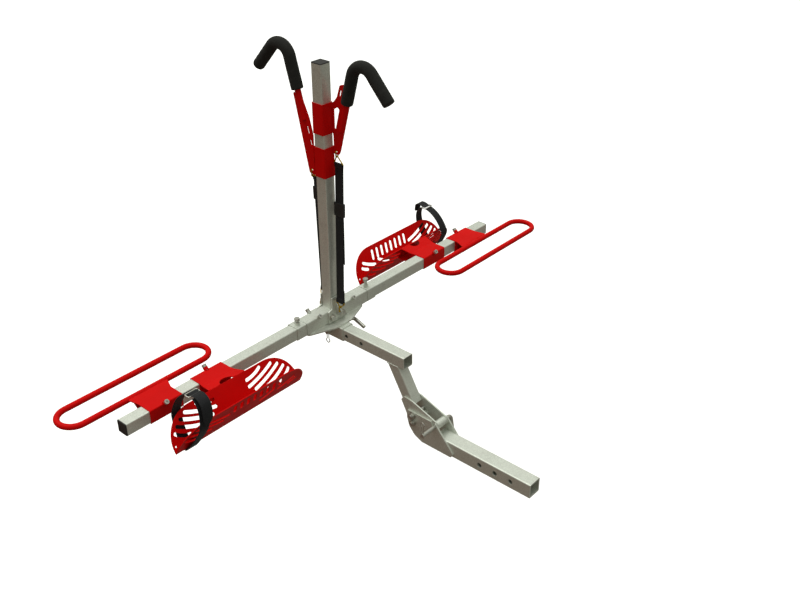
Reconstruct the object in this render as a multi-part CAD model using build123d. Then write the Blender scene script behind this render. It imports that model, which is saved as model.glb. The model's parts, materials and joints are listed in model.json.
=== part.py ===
"""Hitch mounted bike rack: tilting riser, crossbeam with wheel trays and hoops, mast with two hooks.

Millimetres, +Z up. The origin is the middle hitch pin hole of the shank, on the shank's axis.
-Y points to the vehicle and X runs along the crossbeam. The crossbeam with its trays, hoops and hooks
is laid out as a right half and the same half turned 180 degrees about the mast.
"""
from build123d import *
import math
import os

# ---- driving dimensions ---------------------------------------------------------------------------
SHANK = 50.0                # square tube that goes into a 2 inch receiver
SHANK_WALL = 5.0
SHANK_FRONT, SHANK_REAR = -127.0, 230.0
PIN_HOLE_R = 8.25
PIN_HOLE_PITCH = 57.0

PIVOT = (315.0, 37.0)       # tilt pivot, (y, z)
STOP = (317.0, 62.0)        # tilt stop bolt, fixed in the hitch plates
LOCK = (231.0, 58.0)        # lock pin
BOLT_R = 6.0                # M12
BOLT_HEAD = 18.0            # across flats
LOCK_R = 6.35
HITCH_PLATE = 5.0
RISER_PLATE = 4.6
TILT_MAX = 40.0             # degrees
LOCK_GAP = 0.08             # radial running clearance of the two pins

MAST_Y = 693.0              # mast axis
RACK_Z = 295.0              # the rack's own frame starts here
ARM = 40.0                  # mast and both arms
ARM_Z = -16.0               # their axis in the rack's frame
BEAM = 44.5
RISER = 40.0
MAIN = 42.0
TUBE_WALL = 2.5
SLEEVE_IN = 40.5            # runs on a 40 mm tube
SLEEVE = 44.5
SLEEVE_WALL = (SLEEVE - SLEEVE_IN) / 2
TUBE_CORNER = (ARM / 2 - 4) * math.sqrt(2) + 4      # from a tube's axis out to its rounded corner
BEAM_LEFT, BEAM_RIGHT = -130.0, 148.0
COLLAR_LEFT, COLLAR_RIGHT = (-171.0, -132.0), (150.0, 189.0)
COLLAR_BOLT_LEFT, COLLAR_BOLT_RIGHT = -151.0, 165.0
ARM_START, ARM_END = 75.0, 808.0
CAP_LIP = 3.0
MAST_TOP = 809.0
RISER_LEAN = 30.0
RISER_FOOT = (311.0, 37.0)  # where the riser's axis crosses the pivot's height

MAIN_FRONT, MAIN_REAR = -330.0, 90.0
CRADLE = 48.0
CRADLE_HALF = 72.0
CRADLE_TOP = -43.25
MAIN_Z = CRADLE_TOP - CRADLE / 2
GUSSET = 5.0
CRADLE_PIN_Y = -21.0
SPARE_HOLES_Y = (-86.0, -151.0)
CRADLE_PIN_R = 6.35

TRAY_X = (272.0, 738.0)
TRAY_FOLD = (129.0, -81.0)  # (y, z) of the fold, from the mast axis and the arms' top
TRAY_HALF_ANGLE = 27.3
TRAY_WING = 107.0
TRAY_END_R = 95.0
SHEET = 3.0
TRAY_SLEEVE_X = (445.0, 558.0)
HOOP_SLEEVE_X = (620.0, 732.0)
TRAY_BOLT_X, HOOP_BOLT_X = 498.0, 680.0

HOOP_ROD_R = 9.0
HOOP_BEND_R = 47.5
HOOP_X = (468.0, 877.0)     # bend centres
HOOP_Y = 123.5
HOOP_Z = 0.5

HOOK_TUBE_R = 9.5
HOOK_WALL = 2.0
FOAM_R = 18.5
HOOK_BEND_R = 43.0
HOOK_X = SLEEVE / 2 - 2.5   # middle of the hook plate
HOOK_PLATE = 5.0
HOOK_ARM_SLOPE = 0.2813     # how far the arm leans for each mm of rise
HOOK_LEN = 94.0             # length of a hook sleeve

WEB_WIDTH, WEB_THICK = 33.0, 1.6
TAIL_SHIFT = 2.1            # the folded tail lies this far behind the strap
KEEPER_TAIL_END = 175.0     # height of the tail's loose end
RING_R = 2.0
LUG_HOLE = (-42.0, 1.5)     # (y, z) in the rack's frame
BRACKET_PLATE = 4.0
UPPER_HOLE_Z, LOWER_HOLE_Z = 542.6, 479.5
HOOK_HOLE_Y = -33.0         # strap holes in the hook plates
STRAP_LOW_Y, STRAP_TOP_Y = -47.0, -43.2
# x of a strap's middle at its lower and upper bar
STRAP_X = {"right": (-2.8, 16.2), "left": (-20.5, -7.4)}
RING_REACH = 36.0           # from a ring's hole to its bar

WHEEL_STRAP_X = (651.0, 684.0)
STRAP_CENTRE = (128.0, -2.0)
STRAP_THICK = 2.5
# half width, rise and drop from the centre, and how far the upper half leans for each mm of rise
STRAP_OVAL = {"right": (63.0, 70.0, 85.0, 0.36), "left": (60.0, 88.0, 85.0, 0.15)}
STRAP_WAIST = 0.6           # how much narrower the loop gets towards the tray's fold
# the free tail's line, from the loop's highest point
STRAP_TAIL = {
    "right": [(11, 3.5), (30, 6), (44, 1), (50, -12), (51, -30)],
    "left": [(11, 3.5), (32, 4), (52, -10), (62, -34), (61, -72)],
}

RACK = Pos(0, MAST_Y, RACK_Z)
MAST_AXIS = Axis((0, 0, 0), (0, 0, 1))

nodes = {}


def keep(name, *solids):
    """File a node built in the row's own frame."""
    nodes[name] = solids[0] if len(solids) == 1 else Compound(children=list(solids))


def keep_rack(name, *solids):
    """File a node built in the rack's frame: x and y from the mast's axis, z from RACK_Z."""
    keep(name, *[RACK * solid for solid in solids])


def turned(solid):
    """The same piece on the other half of the rack."""
    return solid.rotate(MAST_AXIS, 180)


# ---- small builders -------------------------------------------------------------------------------
def ring_section(size, wall, corner=4.0):
    inner = size - 2 * wall
    return RectangleRounded(size, size, corner) - RectangleRounded(inner, inner, max(corner - wall, 0.8))


def tube_x(x0, x1, y, z, size, wall):
    plane = Plane((x0, y, z), x_dir=(0, 1, 0), z_dir=(1, 0, 0))
    return extrude(plane * ring_section(size, wall), x1 - x0)


def tube_y(y0, y1, z, size, wall):
    plane = Plane((0, y0, z), x_dir=(1, 0, 0), z_dir=(0, 1, 0))
    return extrude(plane * ring_section(size, wall), y1 - y0)


def tube_z(z0, z1, size, wall):
    return extrude(Plane((0, 0, z0)) * ring_section(size, wall), z1 - z0)


def rod(start, end, radius):
    direction = Vector(*end) - Vector(*start)
    return extrude(Plane(start, z_dir=direction.normalized()) * Circle(radius), direction.length)


def hex_head(start, end, across):
    direction = Vector(*end) - Vector(*start)
    face = RegularPolygon(across / math.sqrt(3), 6)
    return extrude(Plane(start, z_dir=direction.normalized()) * face, direction.length)


def sheet_yz(sketch, x0, thickness):
    """A flat plate drawn in (y, z) that runs from x0 by its thickness along +X."""
    return extrude(Plane.YZ.offset(x0) * sketch, thickness)


def outline(points, radius=0.0):
    face = make_face(Polyline(*points, close=True))
    return fillet(face.vertices(), radius) if radius else face


def rounded(points, radii):
    """A closed outline with its own radius at each corner."""
    return make_face(FilletPolyline(*points, radius=radii, close=True))


def wire_loop(points, radius, wire_r):
    path = FilletPolyline(*points, radius=radius, close=True)
    return sweep(Plane(path @ 0, z_dir=path % 0) * Circle(wire_r), path=path)


def bolt_x(y, z, x_head, x_end):
    """A hex bolt along X: head outside x_head, nut outside x_end."""
    side = 1 if x_end > x_head else -1
    shaft = rod((x_head - side * 1.0, y, z), (x_end + side * 14.0, y, z), BOLT_R)
    washer = rod((x_head - side * 2.0, y, z), (x_head, y, z), 12.0)
    head_solid = hex_head((x_head - side * 9.5, y, z), (x_head - side * 2.0, y, z), BOLT_HEAD)
    nut = hex_head((x_end + side * 2.0, y, z), (x_end + side * 11.5, y, z), BOLT_HEAD)
    nut_washer = rod((x_end, y, z), (x_end + side * 2.0, y, z), 12.0)
    nut_ring = (nut + nut_washer) - rod((x_end - side, y, z), (x_end + side * 15.0, y, z), BOLT_R)
    return shaft + washer + head_solid, nut_ring


# ---- hitch: shank, outer plates, bolts --------------------------------------------------------------
def hitch_shank():
    shank = tube_y(SHANK_FRONT, SHANK_REAR, 0, SHANK, SHANK_WALL)
    for index in (-1, 0, 1):
        y = index * PIN_HOLE_PITCH
        shank -= rod((-SHANK, y, 0), (SHANK, y, 0), PIN_HOLE_R)
    return shank


def arc_slot(centre, radius, start_deg, end_deg, half_width):
    """A curved slot about a centre, as a sketch in (y, z)."""
    arc = CenterArc(centre, radius, start_deg, end_deg - start_deg)
    return SlotArc(arc, 2 * half_width)


def hitch_plate(x0):
    """Outer plate: round behind the pivot, with an open-topped notch that the lock pin lifts out of."""
    corners = [
        (227, 73), (155, -11), (163, -24.5), (279, -24.5), (310, -11), (331, 14), (341, 46), (341, 73),
    ]
    radii = [10, 3, 3, 30, 30, 25, 10, 4]
    plate = sheet_yz(rounded(corners, radii), x0, HITCH_PLATE)
    for y, z in (PIVOT, STOP):
        plate -= rod((x0 - 1, y, z), (x0 + HITCH_PLATE + 1, y, z), BOLT_R)
    dy, dz = LOCK[0] - PIVOT[0], LOCK[1] - PIVOT[1]
    start = math.degrees(math.atan2(dz, dy))
    notch = arc_slot(PIVOT, math.hypot(dy, dz), start, start - 25, LOCK_R + 0.35)
    return plate - sheet_yz(notch, x0 - 1, HITCH_PLATE + 2)


def build_hitch():
    half = SHANK / 2
    keep("hitch_shank", hitch_shank())
    keep("hinge_plate_right", hitch_plate(half))
    keep("hinge_plate_left", hitch_plate(-half - HITCH_PLATE))
    outer = half + HITCH_PLATE
    keep("pivot_bolt", *bolt_x(*PIVOT, outer, -outer))
    keep("tilt_stop_bolt", *bolt_x(*STOP, outer, -outer))


# ---- riser: plates, leaning tube, lock pin ----------------------------------------------------------
def riser_plate(x0):
    corners = [
        (370, 97), (358, 111), (325, 108), (224, 73), (214, 50), (236, 41), (300, 13), (334, 20), (344, 48),
    ]
    radii = [5, 4, 20, 12, 10, 10, 18, 18, 10]
    plate = sheet_yz(rounded(corners, radii), x0, RISER_PLATE)
    plate -= rod((x0 - 1, *PIVOT), (x0 + RISER_PLATE + 1, *PIVOT), BOLT_R + 0.05)
    plate -= rod((x0 - 1, *LOCK), (x0 + RISER_PLATE + 1, *LOCK), LOCK_R + LOCK_GAP)
    dy, dz = STOP[0] - PIVOT[0], STOP[1] - PIVOT[1]
    start = math.degrees(math.atan2(dz, dy))
    slot = arc_slot(PIVOT, math.hypot(dy, dz), start - 1, start + TILT_MAX + 1, BOLT_R + 0.35)
    return plate - sheet_yz(slot, x0 - 1, RISER_PLATE + 2)


def riser_tube():
    lean = math.radians(RISER_LEAN)
    up = Vector(0, math.sin(lean), math.cos(lean))
    foot = Vector(0, *RISER_FOOT) + up * 55
    plane = Plane(foot, x_dir=(1, 0, 0), z_dir=up)
    tube = extrude(plane * ring_section(RISER, TUBE_WALL), 170)
    main_bottom = RACK_Z + MAIN_Z - MAIN / 2
    keep_below = Box(200, 600, 600, align=(Align.CENTER, Align.CENTER, Align.MAX))
    return tube & (Pos(0, 340, main_bottom) * keep_below)


def bent_pin(y, z, tip_x, bend_x, radius, handle_to, clip_x):
    """A round pin along X with a bent handle at its +X end and a cross hole for its clip near the tip."""
    path = FilletPolyline((tip_x, y, z), (bend_x, y, z), handle_to, radius=radius * 2)
    pin = sweep(Plane(path @ 0, z_dir=path % 0) * Circle(radius), path=path)
    return pin - rod((clip_x, y, z - radius - 2), (clip_x, y, z + radius + 2), 1.7)


def hairpin_clip(x, y, z, pin_r, side):
    """A wire clip: a leg through the pin, an eye, and a leg outside it. side +1 has its eye on top."""
    wire = 1.5
    outer_y = y + pin_r + wire + 0.2
    leg = 14.0
    eye = z + side * (pin_r + 22)
    top = eye + side * 17
    points = [
        (x, y, z - side * leg), (x, y, eye), (x, y - 5, eye + side * 8), (x, (y + outer_y) / 2, top),
        (x, outer_y + 5, eye + side * 8), (x, outer_y, eye), (x, outer_y, z - side * 8),
        (x, outer_y + 5, z - side * 15),
    ]
    path = FilletPolyline(*points, radius=4.2)
    return sweep(Plane(path @ 0, z_dir=path % 0) * Circle(wire), path=path)


def build_riser():
    keep("riser_tube", riser_tube())
    keep("riser_plate_right", riser_plate(RISER / 2))
    keep("riser_plate_left", riser_plate(-RISER / 2 - RISER_PLATE))
    y, z = LOCK
    half = RISER / 2
    spacer = rod((-half, y, z), (half, y, z), 13) - rod((-half, y, z), (half, y, z), LOCK_R + LOCK_GAP)
    keep("pin_spacer", spacer)
    keep("lock_pin", bent_pin(y, z, -87, 52, LOCK_R, (52, y - 8, z - 46), -80))
    keep("lock_pin_clip", hairpin_clip(-80, y, z, LOCK_R, 1))


# ---- cradle: main arm, sleeve, gusset, centre beam ---------------------------------------------------
def cross_holes(solid, ys, z, radius, reach=60.0):
    for y in ys:
        solid -= rod((-reach, y, z), (reach, y, z), radius)
    return solid


def gusset_plate():
    half = BEAM / 2
    corners = [
        (-125, -half), (-34, -58), (34, -58), (125, -half), (125, half), (34, 58), (-34, 58), (-125, half),
    ]
    face = rounded(corners, [6, 22, 22, 6, 6, 22, 22, 6])
    return extrude(Pos(0, 0, CRADLE_TOP) * face, GUSSET)


def corner_direction(side_y):
    """Unit vector from a tube's axis out through its upper corner on the side_y side."""
    return Vector(0, side_y / math.sqrt(2), 1 / math.sqrt(2))


def corner_point(x, side_y, distance):
    """The point this far out from the arm's own corner, on the side_y side."""
    return tuple(Vector(x, 0, ARM_Z) + corner_direction(side_y) * (TUBE_CORNER + distance))


def corner_rod(x, side_y, near, far, radius):
    return rod(corner_point(x, side_y, near), corner_point(x, side_y, far), radius)


def corner_screw(x, side_y, near, head_near, head_far, head_r):
    """A socket head screw through a tube's upper corner, pressing on the corner of the tube inside."""
    screw = corner_rod(x, side_y, near, head_far - 1, 4.0)
    screw += corner_rod(x, side_y, head_near, head_far, head_r)
    socket_start, socket_end = (corner_point(x, side_y, head_far + offset) for offset in (-4, 1))
    return screw - hex_head(socket_start, socket_end, 6.0)


def centre_beam():
    beam = tube_x(BEAM_LEFT, BEAM_RIGHT, 0, ARM_Z, BEAM, (BEAM - SLEEVE_IN) / 2)
    for x in (-78, 78):
        for side_y in (-1, 1):
            beam += corner_rod(x, side_y, 1.9, 8.9, 6.5)
            beam -= corner_rod(x, side_y, -3, 10, 4.1)
    for x in (-22.5, 22.5):
        beam -= rod((x, -BEAM, -18.5), (x, BEAM, -18.5), BOLT_R)
    return beam


def beam_collar(x_range, bolt_x):
    collar = tube_x(*x_range, 0, ARM_Z, BEAM, (BEAM - SLEEVE_IN) / 2)
    top = ARM_Z + BEAM / 2
    collar += rod((bolt_x, 0, top - 1), (bolt_x, 0, top + 8), 8.5)
    return collar - rod((bolt_x, 0, top - 8), (bolt_x, 0, top + 9), 5.1)


def collar_bolt(x, reach):
    """Clamp bolt of a collar, its head's underside this far above the arm's top."""
    arm_top = ARM_Z + ARM / 2
    bolt = rod((x, 0, arm_top + 0.2), (x, 0, arm_top + reach), 5)
    return bolt + hex_head((x, 0, arm_top + reach - 0.5), (x, 0, arm_top + reach + 7.5), 16)


def mast_bracket():
    """Front plate on the beam with an ear up the mast and a lug for the strap's lower ring."""
    corners = [(-37, -37), (37, -37), (37, 5), (20, 11), (20, 51), (-20, 51), (-20, 11), (-37, 5)]
    face = outline(corners, 3)
    y = -BEAM / 2
    plate = extrude(Plane((0, y, 0), x_dir=(1, 0, 0), z_dir=(0, -1, 0)) * face, BRACKET_PLATE)
    lug = [
        (y - 3, -14), (y - 3, 21), (y - 8, 21), (y - 13, 14), (y - 22, 11.5), (y - 28, 4), (y - 28, -14),
    ]
    lug_face = rounded(lug, [0.5, 2, 3, 4, 4, 6, 7])
    plate += sheet_yz(lug_face, -2.5, 5)
    for x in (-22.5, 22.5):
        plate -= rod((x, y + 1, -18.5), (x, y - 6, -18.5), BOLT_R)
    return plate - rod((-4, *LUG_HOLE), (4, *LUG_HOLE), 4.5)


def bracket_bolts():
    solids = []
    face = BEAM / 2 + BRACKET_PLATE
    for x in (-22.5, 22.5):
        z = -18.5
        bolt = rod((x, -face - 7.5, z), (x, face + 13, z), BOLT_R)
        bolt += hex_head((x, -face - 9.5, z), (x, -face - 2, z), BOLT_HEAD)
        bolt += rod((x, -face - 2, z), (x, -face, z), 12)
        nut = rod((x, face, z), (x, face + 2, z), 12)
        nut += hex_head((x, face + 2, z), (x, face + 11, z), BOLT_HEAD)
        solids += [bolt, nut - rod((x, face - 1, z), (x, face + 14, z), BOLT_R)]
    return solids


def build_cradle():
    main_z = MAIN_Z
    main = tube_y(MAIN_FRONT, MAIN_REAR, main_z, MAIN, TUBE_WALL)
    main = cross_holes(main, SPARE_HOLES_Y, main_z, CRADLE_PIN_R + 0.3)
    keep_rack("main_arm", cross_holes(main, [CRADLE_PIN_Y], main_z, CRADLE_PIN_R + LOCK_GAP))
    sleeve = tube_y(-CRADLE_HALF, CRADLE_HALF, main_z, CRADLE, (CRADLE - MAIN) / 2)
    keep_rack("cradle_sleeve", cross_holes(sleeve, [CRADLE_PIN_Y], main_z, CRADLE_PIN_R + LOCK_GAP))
    keep_rack("cradle_gusset", gusset_plate())
    keep_rack("centre_beam", centre_beam())
    keep_rack("beam_collar_right", beam_collar(COLLAR_RIGHT, COLLAR_BOLT_RIGHT))
    keep_rack("beam_collar_left", beam_collar(COLLAR_LEFT, COLLAR_BOLT_LEFT))
    keep_rack("collar_bolts", collar_bolt(COLLAR_BOLT_RIGHT, 25), collar_bolt(COLLAR_BOLT_LEFT, 17))
    screws = [corner_screw(x, side_y, 0.4, 9.4, 17.9, 6.5) for x in (-78, 78) for side_y in (-1, 1)]
    keep_rack("beam_set_screws", *screws)
    keep_rack("mast_bracket_front", mast_bracket())
    keep_rack("mast_bracket_rear", turned(mast_bracket()))
    keep_rack("bracket_bolts", *bracket_bolts())
    handle = (80, CRADLE_PIN_Y - 50, main_z - 18)
    pin = bent_pin(CRADLE_PIN_Y, main_z, -46, 80, CRADLE_PIN_R, handle, -36)
    keep_rack("cradle_pin", pin)
    keep_rack("cradle_pin_clip", hairpin_clip(-36, CRADLE_PIN_Y, main_z, CRADLE_PIN_R, -1))


# ---- mast ---------------------------------------------------------------------------------------------
def plug_cap(size, wall):
    """A push-in end cap, its lip on z = 0 and its skirt going down into the tube."""
    lip = extrude(RectangleRounded(size, size, 4), CAP_LIP)
    skirt = extrude(RectangleRounded(size - 2 * wall, size - 2 * wall, 1.5), -14)
    hollow = extrude(Pos(0, 0, -14) * RectangleRounded(size - 2 * wall - 5, size - 2 * wall - 5, 1), 12)
    return fillet(lip.edges().group_by(Axis.Z)[-1], 1.2) + skirt - hollow


def build_mast():
    keep_rack("mast", tube_z(ARM_Z + BEAM / 2, MAST_TOP, ARM, TUBE_WALL))
    keep_rack("mast_cap", Pos(0, 0, MAST_TOP) * plug_cap(ARM, TUBE_WALL))


# ---- crossbeam arms ------------------------------------------------------------------------------------
def build_arms():
    arm = tube_x(ARM_START, ARM_END, 0, ARM_Z, ARM, TUBE_WALL)
    end = Plane((ARM_END, 0, ARM_Z), x_dir=(0, 1, 0), z_dir=(1, 0, 0))
    cap = end.location * plug_cap(ARM, TUBE_WALL)
    keep_rack("arm_right", arm)
    keep_rack("arm_left", turned(arm))
    keep_rack("arm_cap_right", cap)
    keep_rack("arm_cap_left", turned(cap))


def arm_sleeve(x_range, bolt_x, bolt_side):
    """The sleeve of a bracket, with a screw boss on its upper corner."""
    sleeve = tube_x(*x_range, 0, ARM_Z, SLEEVE, SLEEVE_WALL)
    sleeve += corner_rod(bolt_x, bolt_side, 1.9, 11.5, 7.5)
    return sleeve - corner_rod(bolt_x, bolt_side, -3, 12.5, 4.1)


def plan_cut(points, radii):
    """A tall block with the given plan outline, to trim bent plates with."""
    return extrude(Pos(0, 0, -60) * rounded(points, radii), 120)


# ---- wheel trays (right tray, on the +Y side) ------------------------------------------------------------
def slot_at(u0, s0, u1, s1, bulge, width=11.0):
    """A gently curved slot between two end centres, as a sketch."""
    du, ds = u1 - u0, s1 - s0
    length = math.hypot(du, ds)
    mid = ((u0 + u1) / 2 - ds / length * bulge, (s0 + s1) / 2 + du / length * bulge)
    return SlotArc(ThreePointArc((u0, s0), mid, (u1, s1)), width)


# slot end centres: distance from the tray's end, distance from the fold
END_SLOTS = [
    (170, 80, 116, 95), (170, 59, 74, 89), (152, 43, 52, 78), (114, 33, 35, 64), (64, 27, 22, 48),
]
# the wing with the window row: its slots nearest the mast, with their bulge
WINDOW_WING_SLOTS = [(50, 61, 102, 38, -2), (38, 45, 61, 34, -1), (125, 50, 168, 29, -2)]


def wing_sketch(with_window_row):
    x0, x1 = TRAY_X
    length = x1 - x0
    face = rounded(
        [(0, 0), (0, TRAY_WING), (length, TRAY_WING), (length, 0)],
        [0.5, TRAY_END_R, TRAY_END_R, 0.5],
    )
    for u in (9, length - 9):
        face -= Pos(u, 16) * Circle(3)
    for u0, s0, u1, s1 in END_SLOTS[1 if with_window_row else 0:]:
        face -= slot_at(length - u0, s0, length - u1, s1, -3.5)
        if not with_window_row:
            face -= slot_at(u0, s0, u1, s1, 3.5)
    if with_window_row:
        for *ends, bulge in WINDOW_WING_SLOTS:
            face -= slot_at(*ends, bulge)
        for index in range(8):
            face -= Pos(106 + index * 24.5, 73) * Rot(0, 0, 78) * SlotOverall(38, 12)
    return face


def tray():
    """V trough of perforated sheet, folded along its bottom."""
    x0, x1 = TRAY_X
    angle = math.radians(TRAY_HALF_ANGLE)
    solid = None
    for side, window_row in ((-1, False), (1, True)):
        up = Vector(0, side * math.sin(angle), math.cos(angle))
        outward = Vector(0, side * math.cos(angle), -math.sin(angle))
        plane = Plane((x0, *TRAY_FOLD), x_dir=(1, 0, 0), z_dir=Vector(1, 0, 0).cross(up))
        thickness = SHEET * (1 if plane.z_dir.dot(outward) > 0 else -1)
        wing = extrude(plane * wing_sketch(window_row), thickness)
        solid = wing if solid is None else solid + wing
    bend = extrude(Plane((x0, *TRAY_FOLD), z_dir=(1, 0, 0)) * Circle(SHEET), x1 - x0)
    return solid + bend


def tray_bracket():
    """Sleeve, top plate bent up to the wing's edge, and a lower plate out to the wing."""
    x0, x1 = TRAY_SLEEVE_X
    low, high = ARM_Z - SLEEVE / 2, ARM_Z + SLEEVE / 2
    top = [(17, high), (39, high), (76.4, 14), (77.6, 11.2), (40, high - SHEET), (17, high - SHEET)]
    bottom = [(17, low), (17, low + SHEET), (101.5, low + SHEET), (103.1, low)]
    plan = plan_cut(
        [(x0, 0), (x0, 24), (x0 - 10, 78), (x1 + 10, 78), (x1, 24), (x1, 0)],
        [0.5, 40, 2, 2, 40, 0.5],
    )
    top_plate = sheet_yz(outline(top), x0 - 20, x1 - x0 + 40) & plan
    middle = (x0 + x1) / 2
    top_plate -= extrude(Pos(middle, 80, -10) * Circle(24), 40)
    low_plan = plan_cut(
        [(x0 + 2, 0), (x0 + 2, 110), (x1 - 2, 110), (x1 - 2, 0)],
        [0.5, 2, 2, 0.5],
    )
    low_plate = sheet_yz(outline(bottom), x0, x1 - x0) & low_plan
    plates = (top_plate + low_plate) - Pos(0, 0, ARM_Z) * Box(4000, SLEEVE_IN, SLEEVE_IN)
    return arm_sleeve(TRAY_SLEEVE_X, TRAY_BOLT_X, -1) + plates


def strap_loop(side):
    """Closed strap loop round the tray, as a plain band: a leaning oval in (y, z), narrow below."""
    half_y, rise, drop, lean = STRAP_OVAL[side]
    centre_y, centre_z = STRAP_CENTRE
    x0, x1 = WHEEL_STRAP_X
    faces = []
    for grow in (STRAP_THICK, 0):
        points = []
        for step in range(24):
            turn = math.radians(step * 15)
            height = math.sin(turn)
            up = height * ((rise if height > 0 else drop) + grow)
            across = math.cos(turn) * (half_y + grow) * (1 + STRAP_WAIST * min(height, 0))
            points.append((centre_y + across + lean * max(up, 0), centre_z + up))
        faces.append(make_face(Spline(*points, periodic=True)))
    return sheet_yz(faces[0] - faces[1], x0, x1 - x0)


def strap_top(side):
    """(y, z) of the loop's outer surface at its highest point."""
    _, rise, _, lean = STRAP_OVAL[side]
    up = rise + STRAP_THICK
    return STRAP_CENTRE[0] + lean * up, STRAP_CENTRE[1] + up


def strap_tail(side):
    """Free end of the strap past its buckle."""
    x0, x1 = WHEEL_STRAP_X
    y, z = strap_top(side)
    points = [(y + dy, z + dz) for dy, dz in STRAP_TAIL[side]]
    line = Spline(*points)
    return sheet_yz(trace(line, STRAP_THICK), x0, x1 - x0)


def strap_buckle(side):
    """Rectangular wire buckle lying on the top of the strap."""
    x = sum(WHEEL_STRAP_X) / 2
    y, z = strap_top(side)
    z += 2.2
    corners = [(x - 20, y - 9, z), (x + 20, y - 9, z), (x + 20, y + 9, z), (x - 20, y + 9, z)]
    return wire_loop(corners, 4, 1.8)


def clamp_screw(x, side_y):
    return corner_screw(x, side_y, 0.3, 12.0, 20.0, 7.0)


def build_trays():
    pieces = {
        "tray_bracket": tray_bracket(),
        "tray": tray(),
        "tray_clamp_screw": clamp_screw(TRAY_BOLT_X, -1),
    }
    for name, solid in pieces.items():
        keep_rack(name + "_right", solid)
        keep_rack(name + "_left", turned(solid))
    for side, place in (("right", lambda solid: solid), ("left", turned)):
        keep_rack("wheel_strap_" + side, place(strap_loop(side)), place(strap_tail(side)))
        keep_rack("wheel_strap_buckle_" + side, place(strap_buckle(side)))


# ---- wheel hoops (right hoop, on the -Y side) -------------------------------------------------------
def hoop():
    x0, x1 = HOOP_X
    near, far = -HOOP_Y + HOOP_BEND_R, -HOOP_Y - HOOP_BEND_R
    edges = [
        Line((x0, near, HOOP_Z), (x1, near, HOOP_Z)),
        ThreePointArc((x1, near, HOOP_Z), (x1 + HOOP_BEND_R, -HOOP_Y, HOOP_Z), (x1, far, HOOP_Z)),
        Line((x1, far, HOOP_Z), (x0, far, HOOP_Z)),
        ThreePointArc((x0, far, HOOP_Z), (x0 - HOOP_BEND_R, -HOOP_Y, HOOP_Z), (x0, near, HOOP_Z)),
    ]
    path = Wire(edges)
    return sweep(Plane((x0, near, HOOP_Z), z_dir=(1, 0, 0)) * Circle(HOOP_ROD_R), path=path)


def hoop_bracket():
    """Sleeve, flat top plate flared out to the hoop, and a lower plate slanting up to it."""
    x0, x1 = HOOP_SLEEVE_X
    low, high = ARM_Z - SLEEVE / 2, ARM_Z + SLEEVE / 2
    rod_y = -HOOP_Y + HOOP_BEND_R
    edge = rod_y + math.sqrt(HOOP_ROD_R ** 2 - (high - SHEET - HOOP_Z) ** 2)
    plan = plan_cut(
        [(x0, 0), (x0, -30), (x0 - 16, edge), (x1 + 8, edge), (x1, -30), (x1, 0)],
        [0.5, 25, 2, 2, 25, 0.5],
    )
    top = [(-17, high), (-80, high), (-80, high - SHEET), (-17, high - SHEET)]
    top_plate = sheet_yz(outline(top), x0 - 20, x1 - x0 + 40) & plan
    bottom = [
        (-17, low), (-25, low), (rod_y + 6.31, HOOP_Z - 6.59), (rod_y + 7.96, HOOP_Z - 4.45),
        (-23.8, low + SHEET), (-17, low + SHEET),
    ]
    low_plate = sheet_yz(outline(bottom), x0 + 6, x1 - x0 - 12)
    plates = (top_plate + low_plate) - Pos(0, 0, ARM_Z) * Box(4000, SLEEVE_IN, SLEEVE_IN)
    return arm_sleeve(HOOP_SLEEVE_X, HOOP_BOLT_X, 1) + plates


def build_hoops():
    pieces = {
        "hoop_bracket": hoop_bracket(),
        "hoop": hoop(),
        "hoop_clamp_screw": clamp_screw(HOOP_BOLT_X, 1),
    }
    for name, solid in pieces.items():
        keep_rack(name + "_right", solid)
        keep_rack(name + "_left", turned(solid))


# ---- hooks (right hook: upper sleeve, hook on the -Y side) ------------------------------------------
def hook_line(z, raise_z):
    """y of the hook arm's axis at height z."""
    return -35.5 - HOOK_ARM_SLOPE * (z - raise_z - 540)


def hook_path(start_z, end_short, raise_z):
    """Centre line of the bent hook tube from start_z up, over and down, end_short before the tip."""
    corner = Vector(HOOK_X, hook_line(863 + raise_z, raise_z), 863 + raise_z)
    down = Vector(0, -0.675, -0.738).normalized()
    tip = corner + down * (173 - end_short)
    start = Vector(HOOK_X, hook_line(start_z, raise_z), start_z)
    return FilletPolyline(start, corner, tip, radius=HOOK_BEND_R)


def swept(path, radius):
    return sweep(Plane(path @ 0, z_dir=path % 0) * Circle(radius), path=path)


def hook_tube(start_z, raise_z):
    path = hook_path(start_z, 8, raise_z)
    return swept(path, HOOK_TUBE_R) - swept(path, HOOK_TUBE_R - HOOK_WALL)


def foam_grip(start_z, raise_z):
    body = swept(hook_path(start_z, 0, raise_z), FOAM_R)
    return body - swept(hook_path(start_z, 7.8, raise_z), HOOK_TUBE_R + 0.1)


def hook_bracket(sleeve_z, plate_points, plate_radii, windows, hole_z, tube_start, foam_start, raise_z):
    """Sleeve on the mast with the side plate that carries the hook tube and the strap."""
    sleeve = tube_z(sleeve_z, sleeve_z + HOOK_LEN, SLEEVE, SLEEVE_WALL)
    plate = sheet_yz(rounded(plate_points, plate_radii), HOOK_X - HOOK_PLATE / 2, HOOK_PLATE)
    for window in windows:
        plate -= sheet_yz(window, HOOK_X - HOOK_PLATE, 2 * HOOK_PLATE)
    plate -= rod((HOOK_X - 6, HOOK_HOLE_Y, hole_z), (HOOK_X + 6, HOOK_HOLE_Y, hole_z), 4.5)
    plate -= swept(hook_path(tube_start, 8, raise_z), HOOK_TUBE_R)
    plate -= swept(hook_path(foam_start - 1, 0, raise_z), FOAM_R + 0.3)
    return sleeve + plate


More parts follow.
